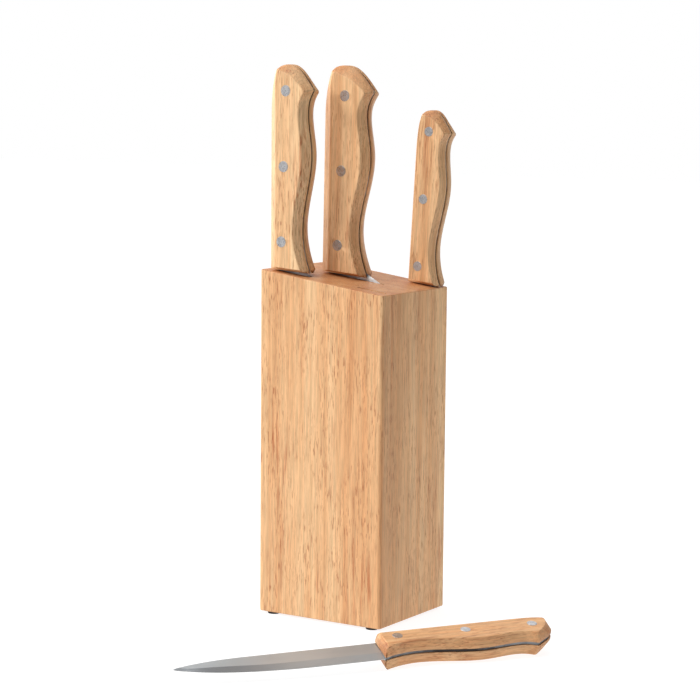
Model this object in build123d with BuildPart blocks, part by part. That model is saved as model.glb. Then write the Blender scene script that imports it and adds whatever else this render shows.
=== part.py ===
from build123d import *
import math
import os

# Knife block with four full-tang knives, in millimetres.
# +Z is up and z = 0 is the surface that the block and the loose knife rest on.
# The block's broad faces look along Y, its narrow faces along X.
# Pieces are drawn about the block's centre line, then moved to the set's frame, whose origin is
# the middle of the ground that the block and the loose knife cover together.
block_place = (-56.5, 85.4)

# Block of glued boards and spacer strips
block_width = 92.0
block_depth = 80.0
left_height = 222.0
right_height = 210.0
corner_radius = 2.0
rim_radius = 0.8
foot_height = 1.5
foot_diameter = 8.0
foot_inset = 8.5
foot_edge_gap = 5.0

# Knife slots: one thin gap between the boards for each row, closed below by a floor strip
slot_gap = 3.0
slot_floor = 12.0
row_y = {"front": -29.0, "middle": 0.0, "back": 31.0}
row_slots = {
    "front": [(-43.4, -13.6), (20.8, 41.8)],
    "middle": [(-23.0, 22.5)],
    "back": [(21.8, 43.2)],
}

# Handles: two wooden scales riveted to the tang
blade_half = 1.0
tang_inset = 0.8
rivet_proud = 0.12
rivet_edge = 0.25
edge_land = 0.12
beak_radius = 1.6
brow_radius = 1.8
blade_spine = 1.2
blade_root = 1.0

top_slope = (left_height - right_height) / block_width
top_centre = foot_height + (left_height + right_height) / 2


def top_at(x):
    """Height of the block's sloping top at x."""
    return top_centre - top_slope * x


def save(piece, name):
    """Move one finished piece to the set's frame and write it as its own STEP file."""
    placed = Pos(*block_place) * piece
    placed.label = name
    export_step(placed, f"parts/{name}.step")


# ---------------------------------------------------------------- block


def block_envelope():
    """The whole block as sanded after gluing: a sloping top and softened edges."""
    half = block_width / 2
    with BuildPart() as envelope:
        with BuildSketch(Plane.XZ.offset(-block_depth / 2)):
            with BuildLine():
                Polyline(
                    (-half, foot_height),
                    (half, foot_height),
                    (half, top_at(half)),
                    (-half, top_at(-half)),
                    close=True,
                )
            make_face()
        extrude(amount=block_depth)
        fillet(envelope.edges().filter_by(Axis.Z), corner_radius)
        rim = envelope.faces().sort_by(Axis.Z)[-1].edges()
        base = envelope.faces().sort_by(Axis.Z)[0].edges()
        fillet(rim + base, rim_radius)
    return envelope.part


def block_piece(envelope, x_range, y_range, z_range):
    """The share of the glued block between the given planes."""
    (x0, x1), (y0, y1), (z0, z1) = x_range, y_range, z_range
    with BuildPart() as piece:
        add(envelope)
        with Locations(((x0 + x1) / 2, (y0 + y1) / 2, (z0 + z1) / 2)):
            Box(x1 - x0, y1 - y0, z1 - z0, mode=Mode.INTERSECT)
    return piece.part


def make_boards(envelope):
    """Four full boards: two thin outer ones and two thick cores between the rows."""
    gaps = [(y - slot_gap / 2, y + slot_gap / 2) for y in row_y.values()]
    starts = [-block_depth / 2] + [gap[1] for gap in gaps]
    ends = [gap[0] for gap in gaps] + [block_depth / 2]
    names = ["front_board", "front_core_board", "back_core_board", "back_board"]
    across = (-block_width / 2, block_width / 2)
    for name, start, end in zip(names, starts, ends):
        save(block_piece(envelope, across, (start, end), (0, left_height * 1.1)), name)


def make_row(envelope, row):
    """One row's strips: a floor strip below, and an upright strip beside each slot."""
    middle = row_y[row]
    depth = (middle - slot_gap / 2, middle + slot_gap / 2)
    left = -block_width / 2
    right = block_width / 2
    save(block_piece(envelope, (left, right), depth, (0, slot_floor)), f"{row}_row_floor_strip")
    starts = [left] + [slot[1] for slot in row_slots[row]]
    ends = [slot[0] for slot in row_slots[row]] + [right]
    names = ["left", "right"] if len(starts) == 2 else ["left", "middle", "right"]
    for name, start, end in zip(names, starts, ends):
        strip = block_piece(envelope, (start, end), depth, (slot_floor, left_height * 1.1))
        save(strip, f"{row}_row_{name}_strip")


def make_feet():
    """Four thin round rubber pads under the corners, kept in one node."""
    with BuildPart() as feet:
        pitch_x = block_width - 2 * foot_inset
        pitch_y = block_depth - 2 * foot_edge_gap
        with GridLocations(pitch_x, pitch_y, 2, 2):
            Cylinder(foot_diameter / 2, foot_height, align=(Align.CENTER, Align.CENTER, Align.MIN))
        fillet(feet.edges().group_by(Axis.Z)[0], 0.4)
    save(feet.part, "rubber_feet")


# ---------------------------------------------------------------- knives
# A knife is drawn on its own plane: x runs from the spine to the belly, y runs up the handle
# from its lower end, and the plane's normal points out of the front scale.


def handle_outline(size, belly=0.0, spine=0.0, cap=0.0, end=0.0):
    """Closed handle outline, drawn in by the given amounts on its four sides."""
    length = size["handle"]
    beak = size["beak"]
    flare = (0.92 * beak - belly, end - 0.05 * beak)
    waist = (0.71 * beak - belly, 0.20 * length)
    swell = (0.935 * beak - belly, 0.575 * length)
    neck = (0.84 * beak - belly, 0.765 * length)
    point = (beak - belly, 0.875 * length - 0.25 * cap)
    crown = (0.36 * beak, 0.998 * length - cap)
    brow = (0.14 * beak + 0.35 * spine, 0.988 * length - 0.5 * cap)
    shoulder = (spine, 0.76 * length)
    with BuildLine() as outline:
        lower = Line((spine, end), flare)
        curve = Spline(flare, waist, swell, neck, point, tangents=[(-0.45, 1), (0.75, 1)])
        Spline(curve @ 1, crown, brow, tangents=[(-0.8, 1), (-1, 0.09 * cap - 0.4)])
        lean = Spline(brow, shoulder, tangents=[(-0.4, -1), (0, -1)])
        Line(lean @ 1, lower @ 0)
        fillet(outline.vertices().sort_by_distance(brow)[0], brow_radius)
        fillet(outline.vertices().sort_by(Axis.X)[-1], beak_radius)
    make_face(outline.edges())


def make_scale(name, plane, side, size):
    """One wooden scale: a low wall, steep facets up its belly and ends, then a flat face."""
    beak = size["beak"]
    belly = size["facet"]
    cap = 0.17 * beak
    facet_half = {"belly": 0.65 * belly, "cap": 0.6 * cap, "end": 0.9}
    face = {"belly": belly, "spine": size["spine_facet"] * beak, "cap": cap, "end": 2.4}
    shoulder = size["wall"] + 0.65 * (size["half"] - size["wall"])
    with BuildPart() as scale:
        with BuildSketch(plane.offset(side * blade_half)):
            handle_outline(size)
        extrude(amount=side * (size["wall"] - blade_half))
        with BuildSketch(plane.offset(side * size["wall"])):
            handle_outline(size)
        with BuildSketch(plane.offset(side * shoulder)):
            handle_outline(size, **facet_half)
        with BuildSketch(plane.offset(side * size["half"])):
            handle_outline(size, **face)
        loft(ruled=True)
        with BuildSketch(plane):
            with Locations(*rivet_places(size)):
                Circle(size["rivet"] / 2)
        extrude(amount=side * size["half"] * 2, mode=Mode.SUBTRACT)
    save(scale.part, name)


def rivet_places(size):
    """The three rivet centres, on a line that drifts towards the belly near the pommel."""
    first = size["first_rivet"]
    pitch = size["rivet_pitch"]
    return [((size["rivet_side"] + 0.05 * step) * size["beak"], first + pitch * step) for step in range(3)]


def make_rivets(name, plane, size):
    """Three solid rivets through both scales and the tang, in one node."""
    reach = size["half"] + rivet_proud
    with BuildPart() as rivets:
        with BuildSketch(plane.offset(-reach)):
            with Locations(*rivet_places(size)):
                Circle(size["rivet"] / 2)
        extrude(amount=2 * reach)
        rims = rivets.edges().filter_by(GeomType.CIRCLE)
        chamfer(rims, rivet_edge * 0.4)
    save(rivets.part, name)


def blade_outline(size, grind=0.0):
    """Closed blade outline. The grind draws the cutting edge in towards the spine."""
    length = size["blade"]
    width = size["width"]
    reach = width / length
    edge_line = width - grind
    heel = (edge_line, -size["heel_drop"])
    tip = (0.29 * width, 0.4 * grind - length)
    shoulder = (blade_spine, -0.66 * length)
    curve_start = (edge_line, -0.30 * length)
    belly = (0.937 * width - 0.9 * grind, -0.56 * length)
    rise = (0.684 * width - 0.65 * grind, -0.83 * length)
    with BuildLine() as outline:
        spine = Line((blade_spine, blade_root), shoulder)
        Spline(shoulder, tip, tangents=[(0, -1), (1.6 * reach, -1)])
        Spline(tip, rise, belly, curve_start, tangents=[(3.4 * reach, 1), (0, 1)])
        Line(curve_start, heel)
        choil = Line(heel, (size["choil"], blade_root))
        Line(choil @ 1, spine @ 0)
    make_face(outline.edges())


def make_blade(name, plane, size):
    """Blade and full tang in one piece: ground to a thin edge, and drilled for the rivets."""
    with BuildPart() as blade:
        with BuildSketch(plane.offset(-edge_land)):
            blade_outline(size)
        extrude(amount=2 * edge_land)
        for side in (-1, 1):
            with BuildSketch(plane.offset(side * edge_land)):
                blade_outline(size)
            with BuildSketch(plane.offset(side * blade_half)):
                blade_outline(size, size["grind"])
            loft(ruled=True)
        with BuildSketch(plane.offset(-blade_half)):
            handle_outline(size, tang_inset, tang_inset, tang_inset, 0.0)
            with Locations(*rivet_places(size)):
                Circle(size["rivet"] / 2, mode=Mode.SUBTRACT)
        extrude(amount=2 * blade_half)
    save(blade.part, name)


def make_knife(knife, plane, size):
    """All the pieces of one knife, each in its own node."""
    make_blade(f"{knife}_blade_and_tang", plane, size)
    make_scale(f"{knife}_front_scale", plane, 1, size)
    make_scale(f"{knife}_back_scale", plane, -1, size)
    make_rivets(f"{knife}_rivets", plane, size)


def standing_plane(x, row, lean, gap):
    """The plane of a knife in its slot: its handle ends just above the sloping top."""
    tilt = math.radians(lean)
    origin = (x, row_y[row], top_at(x) + gap)
    return Plane(origin=origin, x_dir=(math.cos(tilt), 0, -math.sin(tilt)), z_dir=(0, -1, 0))


def lying_plane(origin, heading, pitch, roll):
    """The plane of a knife that lies on its back scale, tipped a little onto its belly side."""
    across = Vector(0, -1, 0).rotate(Axis.Z, heading)
    along = Vector(1, 0, 0).rotate(Axis.Y, -pitch).rotate(Axis.Z, heading)
    belly = across.rotate(Axis((0, 0, 0), along), roll)
    return Plane(origin, x_dir=belly, z_dir=belly.cross(along))


large = {
    "wall": 3.0, "half": 9.0, "facet": 2.6, "spine_facet": 0.16,
    "rivet": 7.0, "first_rivet": 18.2, "rivet_pitch": 47.5,
}
small = {
    "wall": 2.8, "half": 7.8, "facet": 1.5, "spine_facet": 0.06,
    "rivet": 6.2, "first_rivet": 11.0, "rivet_pitch": 43.2,
}
chefs_size = large | {
    "handle": 132.5, "beak": 33.2, "rivet_side": 0.375,
    "blade": 200.0, "width": 40.8, "grind": 13.0, "heel_drop": 5.6, "choil": 29.0,
}
slicing_size = large | {
    "handle": 130.0, "beak": 28.5, "rivet_side": 0.326,
    "blade": 195.0, "width": 25.4, "grind": 8.0, "heel_drop": 3.0, "choil": 18.0,
}
utility_size = small | {
    "handle": 111.0, "beak": 22.5, "rivet_side": 0.32,
    "blade": 126.0, "width": 20.3, "grind": 7.0, "heel_drop": 1.8, "choil": 13.0,
}
paring_size = utility_size | {"blade": 90.0, "width": 17.5}

chefs_plane = standing_plane(-20.6, "middle", 0.85, 0.3)
slicing_plane = standing_plane(-40.7, "front", 0.0, 0.3)
paring_plane = standing_plane(24.8, "back", 3.3, 0.3)
utility_plane = lying_plane((83.0, -104.5, 11.95), heading=53.4, pitch=1.0, roll=13.0)


def main():
    os.makedirs("parts", exist_ok=True)
    envelope = block_envelope()
    make_boards(envelope)
    for row in row_y:
        make_row(envelope, row)
    make_feet()
    make_knife("chefs_knife", chefs_plane, chefs_size)
    make_knife("slicing_knife", slicing_plane, slicing_size)
    make_knife("paring_knife", paring_plane, paring_size)
    make_knife("utility_knife", utility_plane, utility_size)


main()
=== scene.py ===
import math
import bmesh
import bpy
from mathutils import Matrix, Vector


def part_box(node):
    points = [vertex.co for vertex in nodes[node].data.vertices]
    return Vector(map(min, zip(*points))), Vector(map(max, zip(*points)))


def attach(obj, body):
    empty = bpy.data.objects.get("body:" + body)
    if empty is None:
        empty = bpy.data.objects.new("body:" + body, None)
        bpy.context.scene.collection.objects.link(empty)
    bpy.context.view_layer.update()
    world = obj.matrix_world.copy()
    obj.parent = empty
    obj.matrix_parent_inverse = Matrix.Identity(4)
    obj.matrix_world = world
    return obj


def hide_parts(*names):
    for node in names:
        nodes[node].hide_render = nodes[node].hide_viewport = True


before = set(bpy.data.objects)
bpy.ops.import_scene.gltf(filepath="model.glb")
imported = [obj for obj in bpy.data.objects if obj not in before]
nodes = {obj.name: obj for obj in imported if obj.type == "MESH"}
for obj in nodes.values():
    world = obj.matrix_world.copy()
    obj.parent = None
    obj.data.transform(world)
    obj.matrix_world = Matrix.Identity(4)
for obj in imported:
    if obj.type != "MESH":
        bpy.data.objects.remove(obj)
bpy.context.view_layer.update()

# A knife block of pale hardwood with three knives standing in it and one lying in front.
# Everything is in metres. +Z is up, and the block's broad front face looks along -Y.

MM = 0.001
UP = Vector((0, 0, 1))
BOARDS = ["front_board", "front_core_board", "back_core_board", "back_board"]
KNIVES = ["chefs_knife", "slicing_knife", "paring_knife", "utility_knife"]

# Handle edges: which count as edges, and how far each kind is rounded
WELD = 0.01 * MM
FLAT_ANGLE = math.radians(0.4)
EDGE_ANGLE = math.radians(17)
ACROSS_SHARE = 0.3
OUTER_ROUND = {
    "chefs_knife": 0.55 * MM,
    "slicing_knife": 0.55 * MM,
    "paring_knife": 0.4 * MM,
    "utility_knife": 0.4 * MM,
}
INNER_ROUND = 0.18 * MM
INNER_DEPTH = 1.0 * MM
ANY_DEPTH = 1.0
RIVET_CLEARANCE = 0.3 * MM
FACE_WEIGHT = 80

# Every handle's pommel is to this side of its blade, whether the knife stands or lies
POMMEL_SIDE = Vector((1, 1, 4))

# Camera: from the front right and a little above, aimed near the block's middle
LENS = 114.0
SENSOR = 36.0
AZIMUTH = math.radians(32.63)
ELEVATION = math.radians(6.95)
ROLL = math.radians(0.5)
DISTANCE = 1.428
AIM_SIDE = -3.2 * MM
AIM_HEIGHT = 170.7 * MM

# Studio: a white wall behind and to the left, by how nearly a direction points at its middle
WALL_AZIMUTH = math.radians(58)
WALL_EDGE = -0.6
WALL_FULL = 0.78
WALL_LIGHT = 1.0
ROOM_LIGHT = 0.13
LIGHT_HEIGHT = 0.2

# The floor's edges: near in front of the set and on its right, far behind it and on its left
FLOOR_FRONT = -0.75
FLOOR_RIGHT = 0.7
FLOOR_FAR = 6.0
FLOOR_GLOW = 0.86


def srgb(red, green, blue):
    """A colour given as 0-255 display values, as a linear RGBA."""
    def linear(value):
        share = value / 255
        return share / 12.92 if share <= 0.04045 else ((share + 0.055) / 1.055) ** 2.4
    return (linear(red), linear(green), linear(blue), 1.0)


# ---------------------------------------------------------------- shader helpers

EDGE_SAMPLES = 6


def add(tree, kind, inputs=None, **settings):
    """One shader node, with its settings, and its inputs fed by values or by other sockets."""
    made = tree.nodes.new(kind)
    for key, value in settings.items():
        setattr(made, key, value)
    for key, value in (inputs or {}).items():
        if isinstance(value, bpy.types.NodeSocket):
            tree.links.new(value, made.inputs[key])
        else:
            made.inputs[key].default_value = value
    return made


def new_material(name):
    """An empty node material: its node tree and its Principled shader."""
    material = bpy.data.materials.new(name)
    material.use_nodes = True
    tree = material.node_tree
    tree.nodes.clear()
    shader = add(tree, "ShaderNodeBsdfPrincipled")
    output = add(tree, "ShaderNodeOutputMaterial")
    tree.links.new(shader.outputs["BSDF"], output.inputs["Surface"])
    return material, tree, shader


def math_node(tree, operation, first, second=0.0):
    """One step of arithmetic on one or two values."""
    made = add(tree, "ShaderNodeMath", {0: first, 1: second}, operation=operation)
    return made.outputs[0]


def multiply(tree, first, second):
    """The product of two values."""
    return math_node(tree, "MULTIPLY", first, second)


def dot(tree, vector, axis):
    """How far a vector reaches along an axis."""
    made = add(tree, "ShaderNodeVectorMath", {0: vector, 1: axis}, operation="DOT_PRODUCT")
    return made.outputs["Value"]


def remap(tree, value, low, high, to_low=0.0, to_high=1.0):
    """value taken smoothly from low..high to to_low..to_high."""
    inputs = {"Value": value, "From Min": low, "From Max": high, "To Min": to_low, "To Max": to_high}
    made = add(tree, "ShaderNodeMapRange", inputs, interpolation_type="SMOOTHSTEP")
    return made.outputs["Result"]


def noise(tree, place, stretch, seed, detail=3.0, roughness=0.5, distortion=0.0):
    """Noise whose features have the given number per metre along each axis of place."""
    scaled = add(tree, "ShaderNodeVectorMath", {0: place, 1: stretch}, operation="MULTIPLY")
    inputs = {
        "Vector": scaled.outputs[0], "W": seed, "Scale": 1.0,
        "Detail": detail, "Roughness": roughness, "Distortion": distortion,
    }
    return add(tree, "ShaderNodeTexNoise", inputs, noise_dimensions="4D").outputs["Fac"]


def blend(tree, share, first, second, mode="MIX"):
    """Two colours mixed by share."""
    made = add(tree, "ShaderNodeMix", data_type="RGBA", blend_type=mode)
    for key, value in ((0, share), (6, first), (7, second)):
        if isinstance(value, bpy.types.NodeSocket):
            tree.links.new(value, made.inputs[key])
        else:
            made.inputs[key].default_value = value
    return made.outputs[2]


def ramp(tree, value, stops):
    """A colour ramp from (position, colour) stops."""
    made = add(tree, "ShaderNodeValToRGB", {"Fac": value})
    elements = made.color_ramp.elements
    while len(elements) < len(stops):
        elements.new(0.5)
    for element, (position, colour) in zip(elements, stops):
        element.position = position
        element.color = colour
    return made.outputs["Color"]


def edge_share(tree, radius, full):
    """0 on flats and 1 where the surface turns within radius, for wear along edges."""
    rounded = add(tree, "ShaderNodeBevel", {"Radius": radius}, samples=EDGE_SAMPLES)
    surface = add(tree, "ShaderNodeNewGeometry").outputs["Normal"]
    facing = dot(tree, rounded.outputs["Normal"], surface)
    return remap(tree, facing, 1.0, full)


def grain_place(tree, along, across):
    """Coordinates in the wood's own axes: across the grain, along it, and through the board."""
    place = add(tree, "ShaderNodeTexCoord").outputs["Object"]
    axes = (across, along, across.cross(along))
    inputs = {key: dot(tree, place, axis) for key, axis in zip("XYZ", axes)}
    return add(tree, "ShaderNodeCombineXYZ", inputs).outputs[0]


def set_bump(tree, shader, height, strength, distance):
    """Raise the shader's surface by height."""
    inputs = {"Height": height, "Strength": strength, "Distance": distance}
    bump = add(tree, "ShaderNodeBump", inputs)
    tree.links.new(bump.outputs["Normal"], shader.inputs["Normal"])


# ---------------------------------------------------------------- wood

# Figure of the wood, as features per metre across the grain, along it and through the board
BANDS = (95, 2.2, 95)
STREAK_GROUPS = (55, 11, 55)
STREAK_LINES = (520, 24, 520)
FIBRES = (1000, 42, 1000)
PORE_GROUPS = (75, 22, 75)
PORES = (1700, 140, 1700)
SIDE_MOTTLE = (70, 26, 70)

WOOD_LIGHT = srgb(240, 201, 154)
WOOD_MID = srgb(229, 180, 131)
WOOD_ORANGE = srgb(216, 157, 107)
WOOD_STREAK = srgb(184, 104, 60)
WOOD_PORE = srgb(160, 86, 46)
WOOD_END = (0.74, 0.60, 0.50, 1.0)
WOOD_WORN = srgb(246, 214, 172)
SIDE_FRONT = (0.93, 0.88, 0.83, 1.0)
# Painted light: the tone that lifts the back of the block's right side above the wood's own colour
SIDE_BACK_LIGHT = (1.14, 1.16, 1.15, 1.0)
WOOD_WEAR = 0.14
WOOD_WEAR_WIDTH = 0.9 * MM
WOOD_POLISH = 0.08

# How far each handle leans to the orange end of the wood's colours
HANDLE_WARMTH = {
    "chefs_knife": -0.03,
    "slicing_knife": -0.08,
    "paring_knife": 0.02,
    "utility_knife": 0.08,
}
HANDLE_STREAKS = 0.85
HANDLE_PORES = 0.6
BLOCK_WARMTH = 0.03
BLOCK_STREAKS = 0.8
BLOCK_PORES = 0.7
BLOCK_SEED = 4.0
FRONT_SCALE_SEED = 20.0
BACK_SCALE_SEED = 23.5
SCALE_SEED_STEP = 7

# The painted light and shade on the block's right side: it starts behind the front edge, ends before
# the back one, and its border wanders by the mottle's spread
SIDE_START = 12 * MM
SIDE_END = 5 * MM
SIDE_SPREAD = 30 * MM


def painted_side_light(tree, place, colour, depth):
    """The block's right side: browner and mottled at its front edge, and painted lighter towards the
    back, a painted light that lifts the colour above the wood's own.
    """
    position = add(tree, "ShaderNodeTexCoord")
    side = remap(tree, dot(tree, position.outputs["Normal"], (1, 0, 0)), 0.6, 0.95)
    mottle = multiply(tree, noise(tree, place, SIDE_MOTTLE, 31.0, 3.0), SIDE_SPREAD)
    back = math_node(tree, "ADD", dot(tree, position.outputs["Object"], (0, 1, 0)), mottle)
    share = remap(tree, back, depth[0] + SIDE_START, depth[1] - SIDE_END)
    shaded = blend(tree, 1.0, colour, blend(tree, share, SIDE_FRONT, SIDE_BACK_LIGHT), "MULTIPLY")
    return blend(tree, side, colour, shaded)


def band_colour(tree, place, seed, warmth):
    """Soft wide bands from orange to pale."""
    bands = noise(tree, place, BANDS, seed, 4.0, 0.62, 0.8)
    return ramp(tree, bands, [
        (0.30 + warmth, WOOD_ORANGE),
        (0.47 + warmth, WOOD_MID),
        (0.68 + warmth, WOOD_LIGHT),
    ])


def streak_share(tree, place, seed):
    """Where the reddish streaks run, in loose groups."""
    groups = remap(tree, noise(tree, place, STREAK_GROUPS, seed + 3.1, 3.0), 0.42, 0.66)
    lines = remap(tree, noise(tree, place, STREAK_LINES, seed + 5.7, 3.0, 0.6, 0.5), 0.48, 0.70)
    return multiply(tree, groups, lines)


def pore_share(tree, place, seed):
    """Where the short dark pores lie, in loose crowds."""
    crowd = remap(tree, noise(tree, place, PORE_GROUPS, seed + 11.9, 2.0), 0.30, 0.56)
    specks = remap(tree, noise(tree, place, PORES, seed + 14.2, 2.0, 0.5), 0.56, 0.64)
    return multiply(tree, crowd, specks)


def fibre_shade(tree, colour, fibres):
    """The colour, darker and lighter along the fibres."""
    tone = remap(tree, fibres, 0.34, 0.66, 0.77, 1.13)
    channels = dict.fromkeys(("Red", "Green", "Blue"), tone)
    grey = add(tree, "ShaderNodeCombineColor", channels)
    return blend(tree, 0.85, colour, grey.outputs[0], "MULTIPLY")


def end_shade(tree, colour, along):
    """The colour, browner where the grain meets the surface end on."""
    normal = add(tree, "ShaderNodeTexCoord").outputs["Normal"]
    end_on = remap(tree, math_node(tree, "ABSOLUTE", dot(tree, normal, along)), 0.25, 0.85)
    return blend(tree, end_on, colour, blend(tree, 1.0, colour, WOOD_END, "MULTIPLY"))


def wood_material(name, along, across, seed, warmth, streaks, pores, depth=None):
    """Pale, oiled, fine-grained hardwood: soft bands, reddish streaks, fibres and short dark pores."""
    material, tree, shader = new_material(name)
    place = grain_place(tree, along, across)
    streak = streak_share(tree, place, seed)
    fibres = noise(tree, place, FIBRES, seed + 8.3, 4.0, 0.72)
    pore = pore_share(tree, place, seed)
    worn = edge_share(tree, WOOD_WEAR_WIDTH, 0.9)
    colour = band_colour(tree, place, seed, warmth)
    colour = blend(tree, multiply(tree, streak, streaks), colour, WOOD_STREAK)
    colour = fibre_shade(tree, colour, fibres)
    colour = blend(tree, multiply(tree, pore, pores), colour, WOOD_PORE)
    colour = end_shade(tree, colour, along)
    # Painted light: the block's right side made paler towards the back
    if depth:
        colour = painted_side_light(tree, place, colour, depth)
    colour = blend(tree, multiply(tree, worn, WOOD_WEAR), colour, WOOD_WORN)
    tree.links.new(colour, shader.inputs["Base Color"])
    rough = remap(tree, fibres, 0.3, 0.7, 0.44, 0.60)
    rough = math_node(tree, "SUBTRACT", rough, multiply(tree, worn, WOOD_POLISH))
    tree.links.new(rough, shader.inputs["Roughness"])
    height = math_node(tree, "SUBTRACT", multiply(tree, fibres, 0.5), multiply(tree, pore, 0.25))
    set_bump(tree, shader, height, 0.3, 0.12 * MM)
    shader.inputs["Specular IOR Level"].default_value = 0.32
    return material


# ---------------------------------------------------------------- steel, rubber and floor

# Steel's brushing, its clouds and the patches of painted shade in the gap along the tang, as features
# per metre
BRUSHING = (4200, 50, 4200)
STEEL_CLOUDS = (26, 14, 26)
GAP_SHADE_PATCHES = (60, 42, 60)

STEEL = (0.38, 0.405, 0.42, 1.0)
STEEL_LIGHT = (0.48, 0.505, 0.52, 1.0)
# Painted shade: the dark steel colour on the ground edge of the blade
STEEL_GROUND_SHADE = (0.19, 0.20, 0.21, 1.0)
# Painted reflection: the near-white colour that blade steel is lifted towards
STEEL_REFLECTION_WHITE = (0.86, 0.88, 0.90, 1.0)
STEEL_WORN = (0.7, 0.71, 0.72, 1.0)
# Painted shade: the near-black colour for the shadowed gap between scale and tang
TANG_GAP_SHADE = (0.03, 0.023, 0.019, 1.0)
STEEL_METALLIC = 0.6
STEEL_SEED_STEP = 3.0

# Painted reflection: how far each blade's steel colour is lifted towards white to stand in for the
# bright reflection, from plain satin (0) to nearly white (1)
BLADE_PAINTED_REFLECTION = {
    "chefs_knife": 0.8,
    "slicing_knife": 0.8,
    "paring_knife": 0.8,
    "utility_knife": 0.0,
}

RIVET_DULL = (0.50, 0.50, 0.52, 1.0)
RIVET_BRIGHT = (0.68, 0.67, 0.68, 1.0)
RIVET_RIM = (0.20, 0.19, 0.19, 1.0)
RUBBER = (0.012, 0.012, 0.012, 1.0)
RUBBER_DUST = (0.10, 0.10, 0.095, 1.0)
FLOOR_LOW = (0.24, 0.24, 0.24, 1.0)
FLOOR_HIGH = (0.26, 0.26, 0.26, 1.0)


def ground_shade_share(tree, along, normal, tip):
    """Where the blade is ground towards its edge, most near its tip: painted shade on the ground
    facet.
    """
    place = add(tree, "ShaderNodeTexCoord")
    facing = math_node(tree, "ABSOLUTE", dot(tree, place.outputs["Normal"], normal))
    ground = remap(tree, facing, 0.998, 0.9955)
    behind_tip = math_node(tree, "SUBTRACT", dot(tree, place.outputs["Object"], along), tip)
    tip_shade = remap(tree, behind_tip, 20 * MM, 95 * MM, 1.0, 0.15)
    return multiply(tree, ground, tip_shade)


def gap_shade_share(tree, place, along, hilt, seed):
    """Patchy painted shade on the edges of the tang, from the lower end of the handle up: the shadow
    in the gap between scale and tang.
    """
    position = add(tree, "ShaderNodeTexCoord").outputs["Object"]
    in_handle = remap(tree, dot(tree, position, along), hilt - 0.5 * MM, hilt + 1.5 * MM)
    patches = remap(tree, noise(tree, place, GAP_SHADE_PATCHES, seed + 9.0, 3.0), 0.46, 0.64, 0.98, 0.40)
    return multiply(tree, in_handle, patches)


def steel_material(name, along, normal, tip, hilt, seed, painted_reflection):
    """Satin blade steel with fine lines along the blade, darker where the edge is ground as painted
    shade, lifted towards white as a painted reflection, and with painted shade in the tang's gap.
    """
    material, tree, shader = new_material(name)
    place = grain_place(tree, along, along.cross(normal).normalized())
    lines = noise(tree, place, BRUSHING, seed, 3.0, 0.6)
    cloud = noise(tree, place, STEEL_CLOUDS, seed + 4.0, 3.0)
    worn = edge_share(tree, 0.3 * MM, 0.8)
    colour = blend(tree, remap(tree, cloud, 0.35, 0.65), STEEL, STEEL_LIGHT)
    # Painted shade: the ground edge darkened, most near the tip
    colour = blend(tree, ground_shade_share(tree, along, normal, tip), colour, STEEL_GROUND_SHADE)
    # Painted reflection: the steel colour lifted towards white
    colour = blend(tree, painted_reflection, colour, STEEL_REFLECTION_WHITE)
    # Painted shade: the tang's edges inside the handle darkened where the gap beside the scales lies
    # in shadow
    colour = blend(tree, gap_shade_share(tree, place, along, hilt, seed), colour, TANG_GAP_SHADE)
    colour = blend(tree, multiply(tree, worn, 0.3), colour, STEEL_WORN)
    tree.links.new(colour, shader.inputs["Base Color"])
    tree.links.new(remap(tree, lines, 0.3, 0.7, 0.34, 0.46), shader.inputs["Roughness"])
    set_bump(tree, shader, lines, 0.12, 0.03 * MM)
    shader.inputs["Metallic"].default_value = STEEL_METALLIC
    return material


def rivet_material():
    """Turned aluminium rivet heads, dulled by sanding and darker at the rim."""
    material, tree, shader = new_material("turned_rivet")
    place = add(tree, "ShaderNodeTexCoord").outputs["Object"]
    scratches = noise(tree, place, (2600, 2600, 700), 2.0, 3.0, 0.6)
    cloud = noise(tree, place, (420, 420, 420), 6.0, 2.0)
    worn = edge_share(tree, 0.5 * MM, 0.88)
    colour = blend(tree, remap(tree, cloud, 0.3, 0.7), RIVET_DULL, RIVET_BRIGHT)
    colour = blend(tree, multiply(tree, worn, 0.6), colour, RIVET_RIM)
    tree.links.new(colour, shader.inputs["Base Color"])
    tree.links.new(remap(tree, scratches, 0.3, 0.7, 0.24, 0.40), shader.inputs["Roughness"])
    set_bump(tree, shader, scratches, 0.15, 0.03 * MM)
    shader.inputs["Metallic"].default_value = 1.0
    return material


def rubber_material():
    """Matte black rubber, dusty at its edges."""
    material, tree, shader = new_material("foot_rubber_black")
    place = add(tree, "ShaderNodeTexCoord").outputs["Object"]
    grain = noise(tree, place, (1800, 1800, 1800), 1.0, 3.0)
    dust = multiply(tree, edge_share(tree, 0.4 * MM, 0.8), grain)
    tree.links.new(blend(tree, dust, RUBBER, RUBBER_DUST), shader.inputs["Base Color"])
    tree.links.new(remap(tree, grain, 0.3, 0.7, 0.7, 0.9), shader.inputs["Roughness"])
    set_bump(tree, shader, grain, 0.3, 0.05 * MM)
    return material


def floor_material():
    """A lit white table top with a barely visible tooth."""
    material, tree, shader = new_material("white_floor")
    place = add(tree, "ShaderNodeTexCoord").outputs["Object"]
    tooth = noise(tree, place, (300, 300, 300), 9.0, 2.0)
    tree.links.new(blend(tree, tooth, FLOOR_LOW, FLOOR_HIGH), shader.inputs["Base Color"])
    shader.inputs["Emission Color"].default_value = (1, 1, 1, 1)
    shader.inputs["Emission Strength"].default_value = FLOOR_GLOW
    shader.inputs["Roughness"].default_value = 0.9
    shader.inputs["Specular IOR Level"].default_value = 0.1
    return material


def paint(piece, material):
    """Give a piece one material in every slot."""
    if not piece.data.materials:
        piece.data.materials.append(material)
    for material_slot in piece.material_slots:
        material_slot.link = "OBJECT"
        material_slot.material = material


# ---------------------------------------------------------------- handle scales


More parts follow.
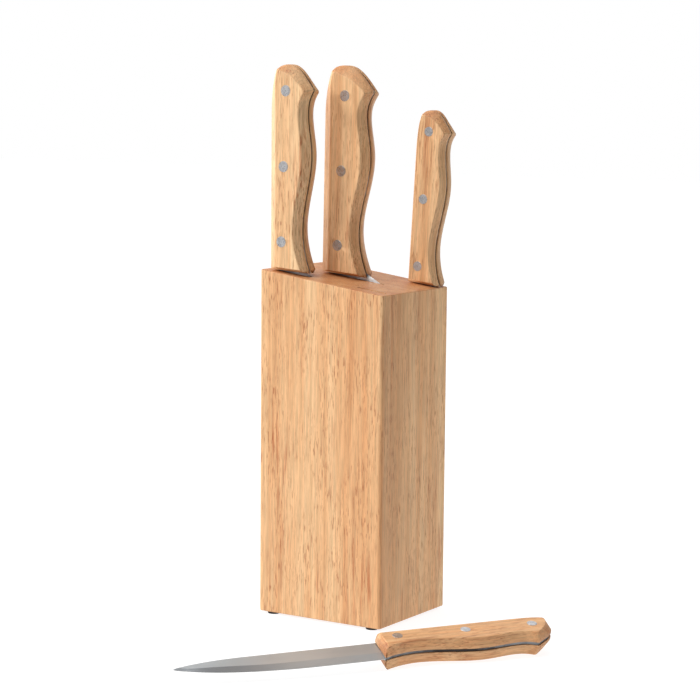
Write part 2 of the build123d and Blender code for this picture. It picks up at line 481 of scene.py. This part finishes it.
def scale_mesh(name):
    """A scale's CAD surface as one welded mesh with its flats joined up."""
    mesh = bmesh.new()
    mesh.from_mesh(nodes[name].data)
    bmesh.ops.remove_doubles(mesh, verts=mesh.verts[:], dist=WELD)
    bmesh.ops.dissolve_limit(mesh, angle_limit=FLAT_ANGLE, verts=mesh.verts[:], edges=mesh.edges[:])
    mesh.normal_update()
    return mesh


def handle_axes(mesh):
    """Up the handle, from its straight spine, and out of the flat face that meets the tang."""
    spine = max(mesh.edges, key=lambda edge: edge.calc_length())
    along = (spine.verts[1].co - spine.verts[0].co).normalized()
    if along.dot(POMMEL_SIDE) < 0:
        along = -along
    normals = {}
    for face in mesh.faces:
        key = tuple(round(value, 2) for value in face.normal)
        normals[key] = normals.get(key, 0.0) + face.calc_area()
    inner = Vector(max(normals, key=normals.get)).normalized()
    return along, inner


def rivet_axes(knife):
    """The middles of a knife's three rivets."""
    mesh = bmesh.new()
    mesh.from_mesh(nodes[f"{knife}_rivets"].data)
    bmesh.ops.remove_doubles(mesh, verts=mesh.verts[:], dist=WELD)
    middles = []
    left = set(mesh.verts)
    while left:
        island = [left.pop()]
        for vert in island:
            for edge in vert.link_edges:
                other = edge.other_vert(vert)
                if other in left:
                    left.remove(other)
                    island.append(other)
        middles.append(sum((vert.co for vert in island), Vector()) / len(island))
    mesh.free()
    return middles


def round_edges(mesh, inner, holes, hole_radius, outer_round):
    """Round the scale's outer edges well and the edge at the tang a little. Rivet holes stay crisp."""
    tang_side = max(vert.co.dot(inner) for vert in mesh.verts)

    def at_hole(point):
        gaps = [point - hole for hole in holes]
        return any((gap - inner * gap.dot(inner)).length < hole_radius for gap in gaps)

    def edges_between(shallow, deep):
        chosen = []
        for edge in mesh.edges:
            middle = (edge.verts[0].co + edge.verts[1].co) / 2
            sharp = len(edge.link_faces) == 2 and edge.calc_face_angle() > EDGE_ANGLE
            rise = abs((edge.verts[0].co - edge.verts[1].co).dot(inner))
            across = rise > ACROSS_SHARE * edge.calc_length()
            depth = tang_side - middle.dot(inner)
            if sharp and not across and shallow <= depth < deep and not at_hole(middle):
                chosen.append(edge)
        return chosen

    for shallow, deep, offset, segments in (
        (INNER_DEPTH, ANY_DEPTH, outer_round, 4),
        (-INNER_DEPTH, INNER_DEPTH, INNER_ROUND, 2),
    ):
        bmesh.ops.bevel(
            mesh, geom=edges_between(shallow, deep), offset=offset, offset_type="OFFSET",
            segments=segments, profile=0.5, affect="EDGES", clamp_overlap=False,
        )


def make_scale(knife, side, seed):
    """A finished wooden scale in place of its CAD solid, with its axes and its lower end."""
    name = f"{knife}_{side}_scale"
    mesh = scale_mesh(name)
    along, inner = handle_axes(mesh)
    rivets = nodes[f"{knife}_rivets"]
    holes = rivet_axes(knife)
    lowest = min(rivets.data.vertices, key=lambda vert: vert.co.dot(along)).co
    nearest = min(holes, key=lambda hole: hole.dot(along))
    radius = (nearest - lowest).dot(along) + RIVET_CLEARANCE
    round_edges(mesh, inner, holes, radius, OUTER_ROUND[knife])
    data = bpy.data.meshes.new(f"{name}_wood")
    mesh.to_mesh(data)
    mesh.free()
    data.shade_smooth()
    piece = bpy.data.objects.new(f"{name}_wood", data)
    bpy.context.scene.collection.objects.link(piece)
    weighted = piece.modifiers.new("flat_faces", "WEIGHTED_NORMAL")
    weighted.keep_sharp = True
    weighted.weight = FACE_WEIGHT
    across = along.cross(inner).normalized()
    wood = wood_material(
        f"{name}_grain", along, across, seed,
        HANDLE_WARMTH[knife], HANDLE_STREAKS, HANDLE_PORES,
    )
    paint(piece, wood)
    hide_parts(name)
    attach(piece, knife)
    hilt = min(vert.co.dot(along) for vert in nodes[name].data.vertices)
    return along, inner, hilt


def dress_knives():
    """Wooden scales, satin blades and turned rivets."""
    rivet = rivet_material()
    for number, knife in enumerate(KNIVES):
        along, inner, hilt = make_scale(knife, "front", FRONT_SCALE_SEED + SCALE_SEED_STEP * number)
        make_scale(knife, "back", BACK_SCALE_SEED + SCALE_SEED_STEP * number)
        blade = nodes[f"{knife}_blade_and_tang"]
        tip = min(vert.co.dot(along) for vert in blade.data.vertices)
        steel = steel_material(
            f"{knife}_steel", along, inner, tip, hilt,
            STEEL_SEED_STEP * number, BLADE_PAINTED_REFLECTION[knife],
        )
        paint(blade, steel)
        paint(nodes[f"{knife}_rivets"], rivet)


def dress_block():
    """One run of grain through the glued boards and strips, and black feet."""
    low, high = block_box()
    wood = wood_material(
        "block_grain", UP, Vector((1, 0, 0)), BLOCK_SEED,
        BLOCK_WARMTH, BLOCK_STREAKS, BLOCK_PORES, depth=(low.y, high.y),
    )
    for name, node in nodes.items():
        if name.endswith(("_board", "_strip")):
            paint(node, wood)
    paint(nodes["rubber_feet"], rubber_material())


# ---------------------------------------------------------------- stage, light and camera


def block_box():
    """The low and high corners of the glued block."""
    corners = [Vector(corner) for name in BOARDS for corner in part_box(name)]
    return Vector(map(min, *corners)), Vector(map(max, *corners))


def block_middle():
    """The middle of the block's footprint, on the floor."""
    low, high = block_box()
    middle = (low + high) / 2
    middle.z = 0
    return middle


def make_floor():
    """A wide white floor under the set."""
    corners = [
        (-FLOOR_FAR, FLOOR_FRONT, 0),
        (FLOOR_RIGHT, FLOOR_FRONT, 0),
        (FLOOR_RIGHT, FLOOR_FAR, 0),
        (-FLOOR_FAR, FLOOR_FAR, 0),
    ]
    data = bpy.data.meshes.new("floor")
    data.from_pydata(corners, [], [(0, 1, 2, 3)])
    floor = bpy.data.objects.new("floor", data)
    bpy.context.scene.collection.objects.link(floor)
    paint(floor, floor_material())


def look_at(place, target, roll=0.0):
    """A matrix at place whose -Z axis points at target."""
    back = (place - target).normalized()
    side = UP.cross(back).normalized()
    top = back.cross(side)
    right = side * math.cos(roll) + top * math.sin(roll)
    up = top * math.cos(roll) - side * math.sin(roll)
    turn = Matrix((right, up, back)).transposed().to_4x4()
    return Matrix.Translation(place) @ turn


def orbit(target, azimuth, elevation, distance):
    """The point at that azimuth, elevation and distance from target."""
    flat = math.cos(elevation)
    back = Vector((math.sin(azimuth) * flat, -math.cos(azimuth) * flat, math.sin(elevation)))
    return target + back * distance


def make_camera(middle):
    """The camera, aimed near the block's middle."""
    data = bpy.data.cameras.new("camera")
    data.lens = LENS
    data.sensor_width = SENSOR
    camera = bpy.data.objects.new("camera", data)
    target = middle + Vector((AIM_SIDE, 0, AIM_HEIGHT))
    camera.matrix_world = look_at(orbit(target, AZIMUTH, ELEVATION, DISTANCE), target, ROLL)
    bpy.context.scene.collection.objects.link(camera)
    bpy.context.scene.camera = camera


def area_light(name, target, azimuth, elevation, distance, size, power, tint=(1, 1, 1)):
    """A soft square light aimed at target, with its angles in degrees."""
    data = bpy.data.lights.new(name, "AREA")
    data.shape = "SQUARE"
    data.size = size
    data.energy = power
    data.color = tint
    light = bpy.data.objects.new(name, data)
    place = orbit(target, math.radians(azimuth), math.radians(elevation), distance)
    light.matrix_world = look_at(place, target)
    bpy.context.scene.collection.objects.link(light)


def make_light(middle):
    """A soft key from the front left, a low light from the left and a wide one from above.
    The world is a white wall behind the set and a dimmer room in front of it."""
    world = bpy.data.worlds.new("studio")
    world.use_nodes = True
    tree = world.node_tree
    direction = add(tree, "ShaderNodeTexCoord").outputs["Generated"]
    forward = Vector((-math.sin(WALL_AZIMUTH), math.cos(WALL_AZIMUTH), 0))
    strength = remap(tree, dot(tree, direction, forward), WALL_EDGE, WALL_FULL, ROOM_LIGHT, WALL_LIGHT)
    surround = tree.nodes["Background"]
    surround.inputs["Color"].default_value = (1, 1, 1, 1)
    tree.links.new(strength, surround.inputs["Strength"])
    bpy.context.scene.world = world
    target = middle + Vector((0, 0, LIGHT_HEIGHT))
    area_light(
        "key", target, azimuth=-29, elevation=35, distance=1.9, size=0.5, power=17,
        tint=(1.0, 0.985, 0.96),
    )
    area_light(
        "side", target, azimuth=-80, elevation=12, distance=1.9, size=0.6, power=17,
        tint=(1.0, 0.98, 0.95),
    )
    area_light("top", target, azimuth=10, elevation=78, distance=1.6, size=1.2, power=13)


dress_block()
dress_knives()
make_floor()
centre = block_middle()
make_camera(centre)
make_light(centre)
bpy.context.scene.view_settings.view_transform = "Standard"
bpy.context.scene.view_settings.look = "None"
